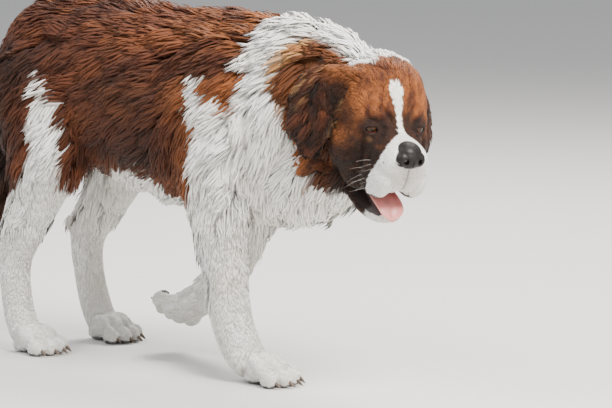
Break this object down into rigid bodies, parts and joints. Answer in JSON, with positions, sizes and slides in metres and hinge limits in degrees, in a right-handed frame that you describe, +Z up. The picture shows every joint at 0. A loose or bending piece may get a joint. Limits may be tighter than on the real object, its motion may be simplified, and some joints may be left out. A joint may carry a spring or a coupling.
{
  "type": "saint bernard dog",
  "caption": "Life-size still model of a long-coated Saint Bernard in a slow walk, one front leg trailing, head turned to its right.",
  "frame": {"origin": "on the floor, under the middle of the model's bounding box", "axes": "+X the way the dog walks, +Y to the dog's left, +Z up"},
  "size_m": [1.3804, 0.3914, 0.828],
  "materials": {
    "red_coat": "long soft fur, mahogany red with a dark overlay",
    "head_coat": "short soft fur, brown with a white blaze",
    "dark_coat": "soft fur, dark brown",
    "white_coat": "soft fur, white",
    "eye": "wet and glossy, brown iris",
    "nose_leather": "fine pebbled, slightly damp",
    "tongue": "moist, pink"
  },
  "bodies": {
    "root": {"torso": "red_coat", "neck": "white_coat", "head": "head_coat", "jaw": "white_coat", "ear_R": "dark_coat", "ear_L": "dark_coat", "eye_R": "eye", "eye_L": "eye", "nose": "nose_leather", "tongue": "tongue", "tail": "dark_coat", "front_leg_R": "white_coat", "front_leg_L": "white_coat", "hind_leg_R": "white_coat", "hind_leg_L": "white_coat"}
  },
  "joints": []
}
